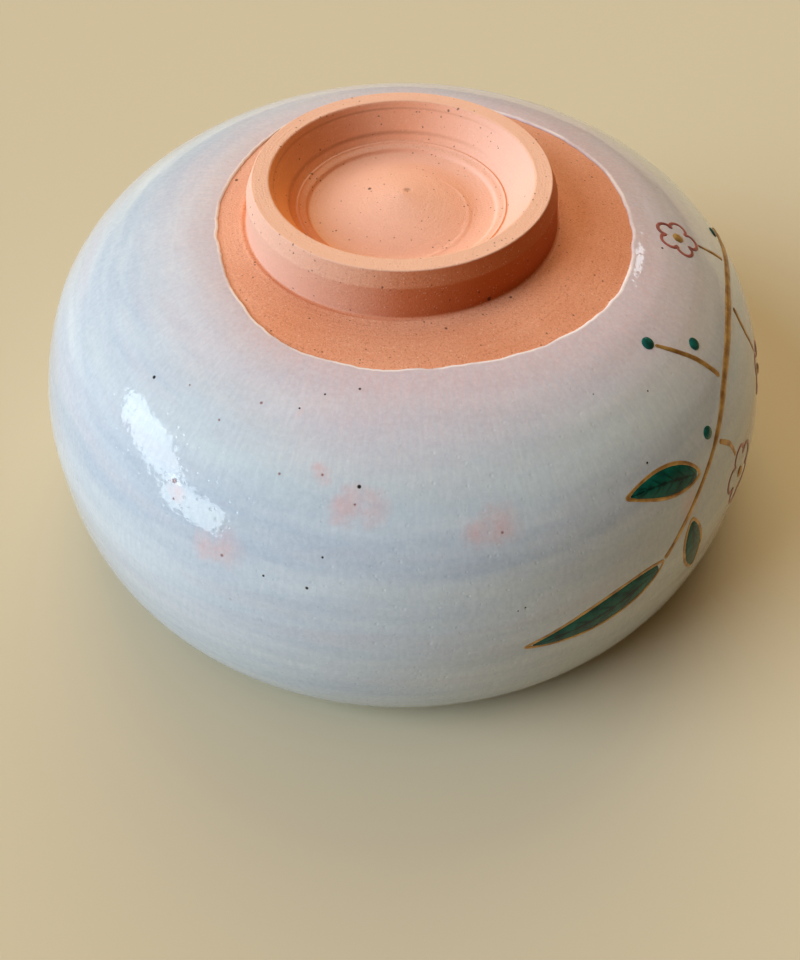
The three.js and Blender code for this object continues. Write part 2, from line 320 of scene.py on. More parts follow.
def clayOutline():
    s = clayShape
    radius = bowlRadius - s["cover"]
    plate = bowlTop - s["footHeight"]
    lean, lipSteps = radians(s["lipLean"]), s["lipSteps"]
    upTheLip = Vector((sin(lean), cos(lean)))

    def lipPoint(share):
        angle = pi - lean + pi * share
        reach = Vector((cos(angle), sin(angle))) * (s["lipRound"] - s["cover"])
        return Vector((s["lipCentre"], s["lipRound"])) + reach

    inner, outer = lipPoint(0), lipPoint(1)
    widestInside, widest = (Vector((x, s["widestHeight"])) for x in (radius - s["wall"], radius))
    drop, rise, insideRise = (Vector((0, s[key])) for key in ("bellyDrop", "shoulderRise", "insideRise"))
    footBase = Vector((s["footBase"], plate))
    start = Vector((0, plate - s["floor"]))
    points = [start]
    points += bezier(start, Vector((s["insideReach"], start.y)), widestInside + insideRise, widestInside,
                     s["hollowSteps"])
    points += bezier(widestInside, widestInside - drop, inner + upTheLip * s["insideLipRun"], inner,
                     lipSteps)
    points += [lipPoint((i + 1) / lipSteps) for i in range(lipSteps)]
    points += bezier(outer, outer + upTheLip * s["lipRun"], widest - drop, widest, lipSteps)
    reach = Vector((s["plateReach"], 0))
    shoulder = bezier(widest, widest + rise, footBase + reach, footBase, s["shoulderSteps"])
    corners = [(Vector((x, bowlTop - depth)), rounding) for x, depth, rounding in footShape]
    points += [point for point in shoulder if point.x > corners[0][0].x + s["footMargin"]]
    peak = Vector((0, bowlTop - s["peakDepth"]))
    points += eased([(points[-1], 0), *corners, (peak, 0)])
    return points + [peak]


outline = clayOutline()
innerIndex = clayShape["hollowSteps"] + clayShape["lipSteps"]
outerIndex = innerIndex + clayShape["lipSteps"]
widestIndex = outerIndex + clayShape["lipSteps"]
outlineLengths = [0.0]
for near, far in zip(outline, outline[1:]):
    outlineLengths.append(outlineLengths[-1] + (far - near).length)
# A way is a length along the outline in millimetres: 0 at the widest circle outside, more towards the foot
outlineWays = [length - outlineLengths[widestIndex] for length in outlineLengths]
startWay, endWay = outlineWays[0], outlineWays[-1]
lipInnerWay, lipOuterWay = outlineWays[innerIndex], outlineWays[outerIndex]


def outlineAt(way):
    way = min(max(way, startWay), endWay)
    index = min(max(bisect.bisect_left(outlineWays, way), 1), len(outline) - 1)
    share = (way - outlineWays[index - 1]) / (outlineWays[index] - outlineWays[index - 1])
    return outline[index - 1].lerp(outline[index], share)


# Way of the place outside the widest circle where the outline first comes in to a radius
def wayAtRadius(radius):
    return next(outlineWays[i] for i in range(widestIndex, len(outline)) if outline[i].x < radius)


def makeOutline():
    data = bpy.data.curves.new("clayOutline", "CURVE")
    data.dimensions = "3D"
    spline = data.splines.new("POLY")
    spline.points.add(len(outline) - 1)
    for point, (radius, height) in zip(spline.points, outline):
        point.co = (radius * mm, 0, height * mm, 1)
    return linked("clayOutline", data)


# Place on the glaze in metres
def glazePlace(azimuth, way, step=0.1):
    spot = outlineAt(way)
    along = (outlineAt(way + step) - outlineAt(way - step)).normalized()
    radius = (spot.x + clayShape["cover"] * along.y) * mm
    height = (spot.y - clayShape["cover"] * along.x) * mm
    turn = radians(azimuth)
    return radius * cos(turn), radius * sin(turn), height


outlineCurve = makeOutline()


# Geometry group: the place on the bowl at a way and an azimuth, lifted out of the clay
def makeOnBowl():
    tree, given, result = newTree(
        "onBowl", "Geometry",
        {"Outline": outlineCurve, "Start Way": startWay * mm, "Way": 0.0, "Azimuth": 0.0, "Lift": 0.0},
        {"Position": "Vector", "Normal": "Vector"})
    curve = place(tree, "GeometryNodeObjectInfo", {"Object": given["Outline"]}).outputs["Geometry"]
    length = calc("SUBTRACT", given["Way"], given["Start Way"])
    sample = placeAfter("GeometryNodeSampleCurve", {"Curves": curve, "Length": length},
                        mode="LENGTH").outputs
    along = parts(sample["Tangent"])
    normal = vector(along["Z"], 0.0, product(along["X"], -1.0))
    lifted = vectorCalc("MULTIPLY_ADD", normal, given["Lift"], sample["Position"])
    for output, value in (("Position", lifted), ("Normal", normal)):
        turned = placeAfter("ShaderNodeVectorRotate", {"Vector": value, "Angle": given["Azimuth"]},
                            rotation_type="Z_AXIS").outputs[0]
        setSocket(result[output], turned)
    return tree


# Group for both kinds of tree: soft rings left by the wheel, from -1 to 1
def makeWheelRings(kind):
    tree, given, result = newTree(
        "wheelRings" + kind, kind, {"Way": 0.0, "Azimuth": 0.0, "Spacing": 4.0, "Wander": 0.5, "Seed": 1.0},
        {"Rings": "Float"})
    ring = calc("DIVIDE", given["Way"], given["Spacing"])
    where = vector(ring, *around(given["Azimuth"], given["Wander"]))
    sockets = {"Vector": where, "W": given["Seed"], "Scale": 1.0, "Detail": 2.0}
    grain = placeAfter("ShaderNodeTexNoise", sockets, noise_dimensions="4D").outputs["Fac"]
    setSocket(result["Rings"], spread(grain, *noiseMiddle, -1.0, 1.0))
    return tree


onBowl = makeOnBowl()
solidRings = makeWheelRings("Geometry")
shaderRings = makeWheelRings("Shader")

throwingRidge = {
    # the one broad ridge that the potter's fingers left round the glazed side
    "way": 29,  # mm
    "halfWidth": 4.2,
    "height": 0.2,
}


# Geometry group: how far the throwing lifts the surface, in metres
def makeThrownRelief():
    tree, given, result = newTree(
        "thrownRelief", "Geometry",
        {"Way": 0.0, "Azimuth": 0.0, "Ring Height": 0.0, "Ring Spacing": 0.004, "Ring Seed": 1.0,
         "Ridge Height": 0.0, "Ridge Way": throwingRidge["way"] * mm,
         "Ridge Half Width": throwingRidge["halfWidth"] * mm},
        {"Lift": "Float"})
    rings = useGroup(solidRings, {
        **same(given, "Way", "Azimuth"), "Spacing": given["Ring Spacing"],
        "Seed": given["Ring Seed"]})["Rings"]
    ridge = bell(given["Way"], given["Ridge Way"], given["Ridge Half Width"])
    lift = added(product(ridge, given["Ridge Height"]), (rings, given["Ring Height"]))
    setSocket(result["Lift"], lift)
    return tree


thrownRelief = makeThrownRelief()

glazeEdge = {
    "radius": 37.5,
    "shift": 3.5,  # the bare patch lies off centre, towards +X
    # size in mm, waves in a turn, azimuth of one crest in degrees
    "waves": [(0.95, 2, -82), (0.85, 3, -6), (0.4, 5, 30)],
    "raggedness": 0.8,
    "raggedSize": 6.0,
    "raggedDetail": (6.0, 0.66),
    "limits": (30.0, 45.0),  # no part of the edge lies nearer to the axis, or further off
}
edgeWay = wayAtRadius(glazeEdge["radius"])


# Geometry group: the way at which the glaze stops, in metres
def makeGlazeEdge():
    s = glazeEdge
    tree, given, result = newTree(
        "glazeEdge", "Geometry",
        {"Azimuth": 0.0, "Radius": s["radius"], "Shift": s["shift"], "Raggedness": s["raggedness"],
         "Ragged Size": s["raggedSize"]},
        {"Way": "Float"})
    cosine, sine = around(given["Azimuth"])
    waves = [(cosine, given["Shift"])]
    for size, count, crest in s["waves"]:
        angle = calc("MULTIPLY_ADD", given["Azimuth"], count, -count * radians(crest))
        waves.append((calc("COSINE", angle), size))
    ragged = noise(vector(cosine, sine, 0.0), given["Ragged Size"], *s["raggedDetail"])
    waves.append((spread(ragged, 0.0, 1.0, -1.0, 1.0), given["Raggedness"]))
    radius = added(given["Radius"], *waves)
    limitWays = [wayAtRadius(limit) * mm for limit in s["limits"]]
    setSocket(result["Way"], spread(radius, *s["limits"], *limitWays))
    return tree


glazeEdgeGroup = makeGlazeEdge()

trimming = {
    # the fine burr of the tool's last spiral across the floor of the foot's well, clockwise and outwards
    "start": 45,  # azimuth in degrees
    "turns": 0.5,
    "radius": 9.7,  # mm, at the start
    "climb": 14.4,  # mm in a turn
    "width": 0.3,
    "floorRadius": 17.4,
    "fadeIn": 0.06,  # of a turn
    "fadeOut": 0.08,
}


# Geometry group: 1 in the middle of the spiral burr, 0 away from it
def makeTrimmingBurr():
    s = trimming
    tree, given, result = newTree(
        "trimmingBurr", "Geometry",
        {"Way": 0.0, "Azimuth": 0.0, "Start": radians(s["start"]), "Turns": s["turns"],
         "Radius": s["radius"] * mm, "Climb": s["climb"] * mm, "Width": s["width"] * mm},
        {"Burr": "Float"})
    radius = parts(useGroup(onBowl, same(given, "Way"))["Position"])["X"]
    inFloor = calc("GREATER_THAN", given["Way"], wayAtRadius(s["floorRadius"]) * mm)
    turned = calc("DIVIDE", calc("SUBTRACT", given["Start"], given["Azimuth"]), 2 * pi)
    turned = calc("FRACT", calc("ADD", turned, 1.0))
    left = calc("SUBTRACT", given["Turns"], turned)
    burr = bell(radius, added(given["Radius"], (turned, given["Climb"])), given["Width"])
    fades = (spread(turned, 0.0, s["fadeIn"]), spread(left, 0.0, s["fadeOut"]))
    setSocket(result["Burr"], product(burr, inFloor, *fades))
    return tree


trimmingBurr = makeTrimmingBurr()
weldReach = 0.002 * mm


# Geometry tree: turn a chain of stations, each a way and a lift in metres, into a closed skin
def makeTurnedTree():
    tree, given, result = newTree(
        "turnedOnTheWheel", "Geometry",
        {"Geometry": "Geometry", "Turn Steps": 320, "Follow Edge": 0.0, "Edge Way": edgeWay * mm,
         "Ring Height": 0.0, "Ring Spacing": 0.004, "Ring Seed": 1.0, "Ridge Height": 0.0,
         "Burr Height": 0.0, "Material": "Material"},
        {"Geometry": "Geometry"})
    stations = given["Geometry"]
    count = place(tree, "GeometryNodeAttributeDomainSize", {0: stations}).outputs["Point Count"]
    grid = place(tree, "GeometryNodeMeshGrid", {
        "Size X": 1.0, "Size Y": 1.0, "Vertices X": count,
        "Vertices Y": calc("ADD", given["Turn Steps"], 1.0)}).outputs["Mesh"]
    fromMiddle = parts(ownPlace(tree))
    stationShare, turnShare = (calc("ADD", fromMiddle[axis], 0.5) for axis in "XY")
    azimuth = product(turnShare, 2 * pi)
    index = calc("ROUND", product(stationShare, calc("SUBTRACT", count, 1.0)))
    station = place(tree, "GeometryNodeSampleIndex", {
        "Geometry": stations, "Value": ownPlace(tree), "Index": index}, data_type="FLOAT_VECTOR").outputs[0]
    wayThere, lift, relief = parts(station)
    # on the outside the stations stretch or shrink with the wavy edge of the glaze
    edge = useGroup(glazeEdgeGroup, {"Azimuth": azimuth})["Way"]
    outside = calc("GREATER_THAN", wayThere, 0.0)
    stretch = calc("SUBTRACT", calc("DIVIDE", edge, given["Edge Way"]), 1.0)
    follow = product(stretch, outside, given["Follow Edge"])
    way = product(wayThere, calc("ADD", follow, 1.0))
    there = {"Way": way, "Azimuth": azimuth}
    thrown = useGroup(thrownRelief, {
        **there, **same(given, "Ring Height", "Ring Spacing", "Ring Seed", "Ridge Height")})["Lift"]
    burr = useGroup(trimmingBurr, there)["Burr"]
    lift = added(lift, (thrown, relief), (burr, given["Burr Height"]))
    spot = useGroup(onBowl, {**there, "Lift": lift})
    fromEdge = calc("SUBTRACT", edge, way)
    skin = keep(grid, {"way": product(way, 1 / mm), "fromEdge": product(fromEdge, 1 / mm)})
    skin = passed(skin, "SetPosition", {"Position": spot["Position"]})
    skin = passed(skin, "MergeByDistance", {"Distance": weldReach})
    return finishTree(tree, passed(skin, "FlipFaces"), given, result)


turnedTree = makeTurnedTree()
print("wheel trees built")


# Materials

def newMaterial(name, **constants):
    material = bpy.data.materials.new(name)
    material.use_nodes = True
    tree = material.node_tree
    shader = tree.nodes["Principled BSDF"].inputs
    for key, value in constants.items():
        setSocket(shader[key.replace("_", " ")], value)
    return material, tree, shader


def finishMaterial(shader, colour, roughness, relief):
    for socket, value in (("Base Color", colour), ("Roughness", roughness), ("Normal", relief)):
        setSocket(shader[socket], value)


# Sockets 0, 6 and 7 of a Mix node are its factor and its two colours
def mixColour(share, first, second):
    return placeAfter("ShaderNodeMix", {0: share, 6: first, 7: second}, data_type="RGBA").outputs[2]


# Lay tints over the base colour, each through its mask
def layered(look, masks):
    colour = look["base"]
    for name, mask in masks:
        tint, share = look["layers"][name]
        colour = mixColour(product(mask, share), colour, tint)
    return colour


# Lay reliefs over one another, each a height with its depth in metres and its strength
def bumps(*reliefs):
    normal = {}
    for height, (depth, strength) in reliefs:
        sockets = {"Height": height, "Distance": depth, "Strength": strength, **normal}
        normal = {"Normal": placeAfter("ShaderNodeBump", sockets).outputs[0]}
    return normal["Normal"]


def objectPlace(tree):
    return place(tree, "ShaderNodeTexCoord").outputs["Object"]


def attribute(tree, name):
    return place(tree, "ShaderNodeAttribute", attribute_name=name).outputs["Fac"]


smallestGrain = 0.35  # of the full size


# Shader group: scattered grains, dark in their middle, from cells of which only a few hold one
def makeGrit():
    tree, given, result = newTree(
        "grit", "Shader",
        {"Vector": "Vector", "Scale": 500.0, "Share": 0.1, "Size": 0.3, "Edge": 0.1, "Bend": 0.0004},
        {"Mask": "Float"})
    wobble = noise(given["Vector"], given["Scale"], output="Color")
    spot = vectorCalc("ADD", given["Vector"], vectorCalc("MULTIPLY", wobble, given["Bend"]))
    cells = place(tree, "ShaderNodeTexVoronoi", {"Vector": spot, "Scale": given["Scale"]}).outputs
    pick = place(tree, "ShaderNodeSeparateColor", {"Color": cells["Color"]}).outputs
    chosen = calc("LESS_THAN", pick["Red"], given["Share"])
    size = product(given["Size"], spread(pick["Green"], 0.0, 1.0, smallestGrain, 1.0))
    grain = spread(cells["Distance"], size, calc("SUBTRACT", size, given["Edge"]))
    setSocket(result["Mask"], product(grain, chosen))
    return tree


grit = makeGrit()


# Cells in a metre, share of them with a grain, its size and soft edge in cells, its bend in metres or none
def grains(where, *settings):
    names = ("Vector", "Scale", "Share", "Size", "Edge", "Bend")
    return useGroup(grit, dict(zip(names, (where, *settings))))["Mask"]


# Spacing in mm, wander and seed
def rings(there, *settings):
    return useGroup(shaderRings, {**there, **dict(zip(("Spacing", "Wander", "Seed"), settings))})["Rings"]


def wayAndAzimuth(where):
    axes = parts(where)
    return {"Way": attribute(where.id_data, "way"), "Azimuth": calc("ARCTAN2", axes["Y"], axes["X"])}


# Cosine of the angle between an azimuth and a side of the bowl, which is given in degrees
def towardsSide(azimuth, side):
    return calc("COSINE", calc("SUBTRACT", azimuth, radians(side)))


# 1 from one way to another, with a soft change at both ends
def between(way, start, end, soft):
    rise = spread(way, start - soft, start + soft, smooth=True)
    fall = spread(way, end + soft, end - soft, smooth=True)
    return product(rise, fall)


def betweenRadii(way, outer, inner, soft):
    return between(way, wayAtRadius(outer), wayAtRadius(inner), soft)


# deep red of the clay in shade, laid on as painted shade
paintedShadeClay = (0.60, 0.11, 0.02)
shadedClay = (0.50, 0.165, 0.07)
paleClay = (0.86, 0.53, 0.40)

clayLook = {
    "shine": 0.2,
    "base": (0.71, 0.265, 0.13),
    "layers": {  # colour and share
        "warm": ((0.79, 0.35, 0.20), 1.0),
        "darkSand": (shadedClay, 0.7),
        # painted shade: the foot's outer wall darker and redder than the chamfer above it
        "wall": (paintedShadeClay, 0.32),
        # painted light: the clay outside the foot paler and pinker, least on the shaded front right
        "plate": ((0.70, 0.46, 0.36), 0.4),
        # painted shade: outer surfaces that face away from the light turn deep red
        "toasted": (paintedShadeClay, 0.95),
        "inside": (paleClay, 0.3),
        # painted light: the inside of the foot that faces the front warmer and brighter
        "warmed": ((0.95, 0.36, 0.17), 0.5),
        # painted shade: the inside of the foot that faces away from the light deeper, more saturated orange
        "glowing": ((0.84, 0.28, 0.075), 0.9),
        # painted light: surfaces that face the light are paler
        "pale": (paleClay, 0.7),
        # turning lines: a real mark, drawn mostly where the wall faces away from the light, which is painted
        # shade
        "line": (shadedClay, 1.0),
        "face": ((0.85, 0.50, 0.345), 0.75),
        "well": ((0.86, 0.465, 0.33), 0.6),
        # painted shadow of the foot's rim on the left of the well's ledge
        "ledge": (paintedShadeClay, 0.45),
        "paleGrit": ((0.92, 0.62, 0.45), 0.5),
        "darkGrit": ((0.08, 0.03, 0.018), 0.85),
    },
    # rings of the wheel: spacing in mm, wander and seed
    "coarseRings": (2.0, 1.5),
    "fineRings": (0.4, 4.0, 4.0),
    "ringTone": 0.08,
    # noises: scale, detail and roughness
    "patchNoise": (55.0, 3.0),
    "sandNoise": (2900.0, 3.0, 0.8),
    "sandTone": 1.4,
    "darkSandNoise": (2700.0, 2.0, 0.7),
    "darkSandRange": (0.47, 0.3),
    # grains in a metre, share, size, soft edge and bend
    "paleGrit": (2900.0, 0.34, 0.42, 0.25),
    "smallGrit": (1700.0, 0.11, 0.4, 0.25),
    "largeGrit": (560.0, 0.045, 0.27, 0.1, 0.0007),
    # bands: outer and inner radius and softness in mm
    "wall": (27.9, 26.87, 0.15),
    "face": (25.75, 22.8, 0.12),
    "ledge": (20.4, 16.6, 0.5),
    # radii in mm where a tint starts and where it is full
    "plate": (28.5, 29.2),
    "inside": (22.9, 22.7),
    "well": (18.3, 15.0),
    # painted light and shade in the clay's colour, and where the turning lines show: the way that a surface
    # faces, or the side of the bowl in degrees, and the cosines at which the tint starts and is full
    "toastedFacing": ((0.75, -0.66, 0.0), 0.35, 0.95),
    "glowingFacing": ((0.97, 0.25, 0.0), 0.0, 0.8),
    "warmedFacing": ((0.0, -1.0, 0.0), 0.3, 0.8),
    "paleFacing": ((-1.0, -0.1, 0.0), 0.1, 0.9),
    "lineFacing": ((0.7, -0.7, 0.0), -0.2, 0.7),
    "plateSide": (115, -0.5, 1.0),
    "ledgeSide": (208, 0.6, 0.95),
    "lines": [(22.15, 0.16, 0.5), (19.9, 0.3, 0.6)],  # radius and half width in mm, share
    "linePatches": (0.3, 0.6, 0.3),  # the patches where a line starts and is full, and its least share
    "pit": (1.1, 1.4, 0),  # mm, off the axis
    "pitRadius": 1.0,
    "pitShare": 0.45,
    "roughness": (0.2, 0.8, 0.72, 0.92),  # from one value of the sand noise to another
    # depth in metres and strength
    "sandRelief": (0.00018, 0.8),
    "ringRelief": (0.00004, 0.4),
    "pitRelief": (-0.0004, 0.7),
}


def clayMaterial():
    look = clayLook
    material, tree, shader = newMaterial("bareClay", Specular_IOR_Level=look["shine"])
    where = objectPlace(tree)
    there = wayAndAzimuth(where)
    way = there["Way"]
    normal = place(tree, "ShaderNodeNewGeometry").outputs["Normal"]

    def facing(name):
        direction, *cosines = look[name + "Facing"]
        return spread(vectorCalc("DOT_PRODUCT", normal, direction), *cosines)

    def onSide(name):
        side, *cosines = look[name + "Side"]
        return spread(towardsSide(there["Azimuth"], side), *cosines)

    coarse, fine = (rings(there, *look[name + "Rings"]) for name in ("coarse", "fine"))
    patches, sand, darkSand = (noise(where, *look[name + "Noise"]) for name in ("patch", "sand", "darkSand"))
    small, large, pale = (grains(where, *look[name + "Grit"]) for name in ("small", "large", "pale"))
    wall, face, ledge = (betweenRadii(way, *look[name]) for name in ("wall", "face", "ledge"))
    plate, inside, well = (spread(way, *map(wayAtRadius, look[key])) for key in ("plate", "inside", "well"))
    outside = calc("SUBTRACT", 1.0, inside)
    sandOff = calc("SUBTRACT", sand, 0.5)
    tone = added(patches, (coarse, look["ringTone"]), (fine, look["ringTone"]), (sandOff, look["sandTone"]))
    lines = []
    # turning lines round the well's wall, a real mark; the facing mask that keeps them to the wall turned
    # from the light is painted shade
    for radius, half, share in look["lines"]:
        middle = wayAtRadius(radius)
        line = between(way, middle - half, middle + half, half)
        strength = spread(patches, *look["linePatches"], share)
        lines.append(("line", product(line, strength, facing("line"))))
    fromPit = vectorCalc("DISTANCE", vectorCalc("MULTIPLY", where, (1, 1, 0)), Vector(look["pit"]) * mm)
    pit = product(spread(fromPit, look["pitRadius"] * mm, 0.0, smooth=True), well)
    # the tints that follow the facing or side of a surface, and the ledge's shadow, are painted light and
    # shade
    colour = layered(look, [
        ("warm", spread(tone, *noiseMiddle)),
        ("darkSand", spread(darkSand, *look["darkSandRange"])),
        # painted shade on the foot's outer wall
        ("wall", wall),
        # painted light on the clay outside the foot
        ("plate", product(onSide("plate"), plate)),
        ("toasted", product(facing("toasted"), outside)),
        ("inside", inside),
        ("warmed", product(facing("warmed"), inside)),
        ("glowing", product(facing("glowing"), inside)),
        # painted light on surfaces that face the light
        ("pale", facing("pale")),
        *lines,
        ("face", face),
        ("well", well),
        # painted shadow on the well's ledge
        ("ledge", product(ledge, onSide("ledge"))),
        ("paleGrit", pale),
        ("darkGrit", largest(small, large, product(pit, look["pitShare"]))),
    ])
    relief = bumps((sand, look["sandRelief"]), (calc("ADD", coarse, fine), look["ringRelief"]),
                   (pit, look["pitRelief"]))
    finishMaterial(shader, colour, spread(sand, *look["roughness"]), relief)
    return material


coolGlaze = (0.405, 0.455, 0.515)
rustRed = (0.22, 0.055, 0.035)

glazeLook = {
    "refraction": 1.5,
    "base": coolGlaze,
    "layers": {  # colour and share
        "tone": ((0.555, 0.585, 0.60), 1.0),
        "lilac": ((0.485, 0.46, 0.50), 0.85),
        "green": ((0.495, 0.535, 0.51), 0.6),
        "thick": ((0.56, 0.66, 0.60), 0.45),
        "flush": ((0.64, 0.40, 0.375), 1.0),
        "haze": ((0.88, 0.90, 0.90), 0.26),
        "run": (coolGlaze, 0.26),
        "freckle": (rustRed, 0.35),
        "rim": ((0.86, 0.74, 0.68), 1.0),
        "rust": (rustRed, 0.8),
        "iron": ((0.02, 0.018, 0.016), 1.0),
    },
    "broadRings": (9.0, 0.9),
    "otherRings": (5.0, 1.6, 7.0),
    "fineRings": (2.2, 4.0, 3.0),
    "fineTone": 0.55,
    # the rings at which a tint starts and where it is full
    "tone": (-0.7, 0.7),
    "lilac": (0.0, 1.0),
    "green": (-0.2, -1.1),
    "thickBand": (41.0, 5.0),  # way and half width in mm
    "thickSide": -75,  # degrees
    "thickCosines": (0.3, 0.9),
    "cloudNoise": (45.0, 3.0),
    "cloudReach": 14.0,  # mm
    "flushReach": 20.0,  # mm from the edge
    "flushFall": 1.3,
    "flushShare": 0.8,
    "flushShift": (3.0, 140),  # mm less flush, and the azimuth in degrees where it is least
    "spotNoise": (300.0, 3.0, 0.6),
    "spotBend": 5.0,  # mm
    "spotFade": (0.25, 0.65, 0.4, 1.0),
    "spotShare": 0.9,
    # share of a mark that is at its full strength
    "spotCore": 0.15,
    "rustCore": 0.3,
    "ironCore": 0.5,
    "mottleNoise": (1300.0, 4.0, 0.8),
    "middle": (0.3, 0.7),  # of the mottle and of the runs
    "runs": 110.0,  # how many fine runs of glaze in a radian
    "runStretch": 0.3,
    "freckles": (330.0, 0.08, 0.12, 0.1),
    "pits": (800.0, 0.85, 0.3, 0.28),
    "rim": (0.0, 0.5, 0.15),  # mm from the edge, and softness
    "rimNoise": (160.0, 3.0),
    "rimFade": (0.36, 0.56, 0.3, 0.95),
    "roughness": (0.05, 0.09),
    "orangePeel": (380.0, 1.0),
    "grainNoise": (1250.0, 0.0),
    # depth in metres and strength
    "peelRelief": (0.00004, 1.0),
    "grainRelief": (0.000016, 1.0),
    "pitRelief": (-0.00005, 0.8),
}

# Marks in the glaze: azimuth in degrees, way and radius in mm
pinkSpots = [
    (-97.8, 37.9, 4.6), (-94.8, 37.6, 4.2), (-76.8, 33.6, 4.6), (-79.8, 33.4, 3.6), (-115, 26.3, 4.6),
    (-117.4, 25.6, 3.6), (-102.6, 41.4, 2.8), (-123.8, 31.9, 2.4), (-109.2, 50.3, 1.8), (-46, 22, 4),
]
ironSpecks = [
    (-138, 43.9, 0.4), (-105.4, 53.3, 0.24), (-109.2, 50.2, 0.2), (-96.6, 40.3, 0.4), (-100.8, 29.4, 0.3),
    (-108.6, 24.2, 0.28), (-102.6, 23.9, 0.34), (-51.8, 33.7, 0.28), (-98.8, 55.1, 0.34), (-44.8, 42.5, 0.2),
    (-74.2, 19, 0.2), (-75.2, 18.7, 0.16), (-71, 56.2, 0.18), (-9.8, 51.2, 0.3), (-54.4, 47, 0.15),
]
rustSpots = [
    (-124.8, 32.9, 0.55), (-124, 30.3, 0.3), (-109, 40.1, 0.3), (-102.4, 41.3, 0.3), (-114.8, 25.2, 0.4),
    (-97, 37.7, 0.25), (-76.4, 32.5, 0.35), (-116.4, 49.2, 0.35), (-130.8, 46.5, 0.25), (-122, 44.3, 0.3),
]


# Largest of several soft round marks
def marks(where, spots, core):
    discs = []
    for azimuth, way, size in spots:
        distance = vectorCalc("DISTANCE", where, glazePlace(azimuth, way))
        discs.append(spread(distance, size * mm, size * core * mm, smooth=True))
    return largest(*discs)


# Pink over the whole ring near the edge, and in spots with ragged outlines
def flushMask(where, azimuth, fromEdge):
    look = glazeLook
    less, least = look["flushShift"]
    clouds = calc("SUBTRACT", noise(where, *look["cloudNoise"]), 0.5)
    reach = added(fromEdge, (clouds, look["cloudReach"]), (towardsSide(azimuth, least), less))
    flush = calc("POWER", spread(reach, look["flushReach"], 0.0), look["flushFall"])
    bend, fade = (noise(where, *look["spotNoise"], output) for output in ("Color", "Fac"))
    bend = vectorCalc("SUBTRACT", bend, (0.5, 0.5, 0.5))
    bent = vectorCalc("MULTIPLY_ADD", bend, [look["spotBend"] * mm] * 3, where)
    spots = marks(bent, pinkSpots, look["spotCore"])
    spots = product(spots, spread(fade, *look["spotFade"]), look["spotShare"])
    return largest(product(flush, look["flushShare"]), spots)


def glazeMaterial():
    look = glazeLook
    material, tree, shader = newMaterial("paleGlaze", IOR=look["refraction"])
    where = objectPlace(tree)
    there = wayAndAzimuth(where)
    way, azimuth = there["Way"], there["Azimuth"]
    fromEdge = attribute(tree, "fromEdge")
    broad, other, fine = (rings(there, *look[name + "Rings"]) for name in ("broad", "other", "fine"))
    thickSide = spread(towardsSide(azimuth, look["thickSide"]), *look["thickCosines"])
    mottle = noise(where, *look["mottleNoise"])
    runPlace = vector(*around(azimuth, look["runs"]), product(way, look["runStretch"]))
    rimFade = spread(noise(where, *look["rimNoise"]), *look["rimFade"])
    rust = marks(where, rustSpots, look["rustCore"])
    iron = marks(where, ironSpecks, look["ironCore"])
    colour = layered(look, [
        ("tone", spread(added(broad, (fine, look["fineTone"])), *look["tone"])),
        ("lilac", spread(other, *look["lilac"])),
        ("green", spread(other, *look["green"])),
        ("thick", product(bell(way, *look["thickBand"]), thickSide)),
        ("flush", flushMask(where, azimuth, fromEdge)),
        ("haze", spread(mottle, *look["middle"])),
        ("run", spread(noise(runPlace, 1.0), *look["middle"])),
        ("freckle", grains(where, *look["freckles"])),
        ("rim", product(between(fromEdge, *look["rim"]), rimFade)),
        ("rust", rust),
        ("iron", iron),
    ])
    hollow = largest(grains(where, *look["pits"]), rust, iron)
    relief = bumps((noise(where, *look["orangePeel"]), look["peelRelief"]),
                   (noise(where, *look["grainNoise"]), look["grainRelief"]), (hollow, look["pitRelief"]))
    finishMaterial(shader, colour, spread(mottle, *look["middle"], *look["roughness"]), relief)
    return material


enamelLook = {
    "streakNoise": (420.0, 3.0, 0.6),
    "streakRange": (0.35, 0.65),
    "roughRange": (0.3, 0.7),
    "rougher": 0.1,
    "relief": (0.00004, 0.6),
    "veinShare": 0.9,
    "sideVeinShare": 0.8,
    "veinWaver": 0.5,
    "veinFade": (0.85, 0.3),  # across the leaf
}


# Shader group: the brushed veins of a leaf, from its measures along (0 to 1) and across (-1 to 1)
def makeLeafVeins():
    look = enamelLook
    tree, given, result = newTree(
        "leafVeins", "Shader",
        {"Along": 0.0, "Across": 0.0, "Noise": 0.5, "Side Veins": 6.0, "Slant": 0.16, "Midrib Width": 0.22,
         "Vein Width": 0.2},
        {"Mask": "Float"})
    away = calc("ABSOLUTE", given["Across"])
    shift = product(calc("SUBTRACT", given["Noise"], 0.5), look["veinWaver"])
    midrib = spread(calc("ADD", away, shift), given["Midrib Width"], 0.0, smooth=True)
    run = calc("SUBTRACT", given["Along"], product(away, given["Slant"]))
    run = added(shift, (run, given["Side Veins"]))
    fromVein = calc("ABSOLUTE", calc("SUBTRACT", calc("FRACT", run), 0.5))
    vein = spread(fromVein, given["Vein Width"], 0.0, smooth=True)
    vein = product(vein, spread(away, *look["veinFade"]), look["sideVeinShare"])
    setSocket(result["Mask"], largest(midrib, vein))
    return tree


leafVeins = makeLeafVeins()


def enamelMaterial(name, pale, dark, roughness, veins=None, **constants):
    look = enamelLook
    material, tree, shader = newMaterial(name, **constants)
    streaks = noise(objectPlace(tree), *look["streakNoise"])
    colour = mixColour(spread(streaks, *look["streakRange"]), dark, pale)
    if veins:
        measures = {"Along": attribute(tree, "along"), "Across": attribute(tree, "across")}
        vein = useGroup(leafVeins, {**measures, "Noise": streaks})["Mask"]
        colour = mixColour(product(vein, look["veinShare"]), colour, veins)
    rough = spread(streaks, *look["roughRange"], roughness + look["rougher"], roughness)
    finishMaterial(shader, colour, rough, bumps((streaks, look["relief"])))
    return material


